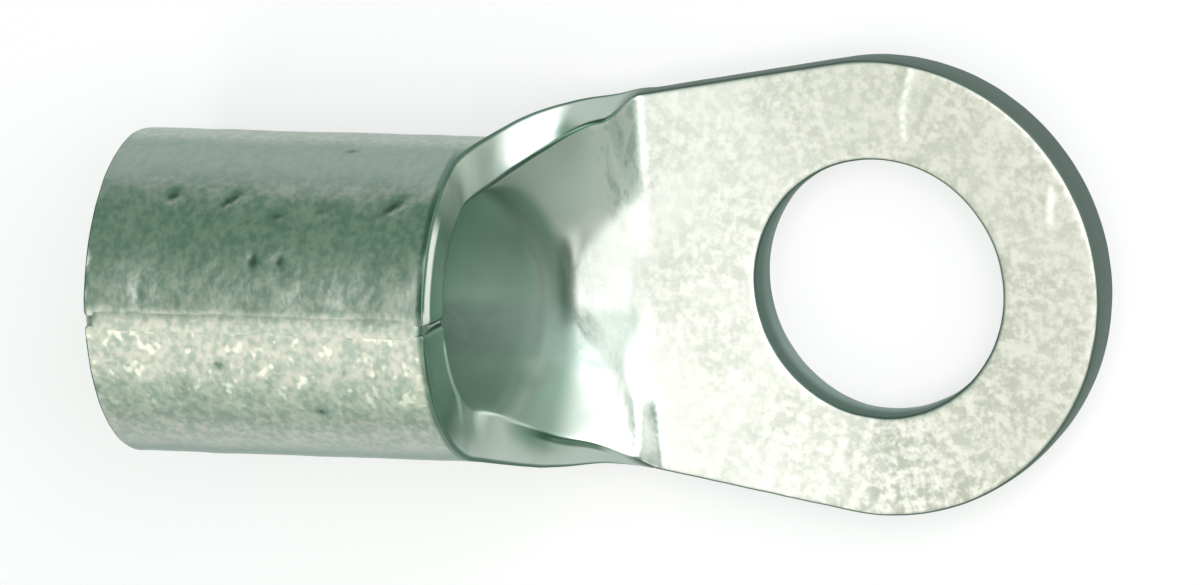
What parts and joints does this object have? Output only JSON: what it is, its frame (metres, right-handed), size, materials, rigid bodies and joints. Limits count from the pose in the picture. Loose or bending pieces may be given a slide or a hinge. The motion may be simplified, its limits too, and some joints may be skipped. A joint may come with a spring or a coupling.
{
  "type": "ring terminal",
  "caption": "Uninsulated ring terminal of tinned copper sheet: a rolled wire barrel with a brazed seam, an open tapering neck and a flat palm with a stud hole.",
  "frame": {"origin": "on the axis of the stud hole, at the underside of the palm", "axes": "+X from the wire barrel towards the tip of the ring, +Z along the stud hole out of the top of the palm, +Y completes the right-handed set"},
  "size_m": [0.0169, 0.008, 0.0056],
  "materials": {
    "tinned_copper": "tin-plated copper, satin and slightly grainy, with burnished press marks and darker sheared edges"
  },
  "bodies": {
    "root": {"ring_terminal": "tinned_copper"}
  },
  "joints": []
}
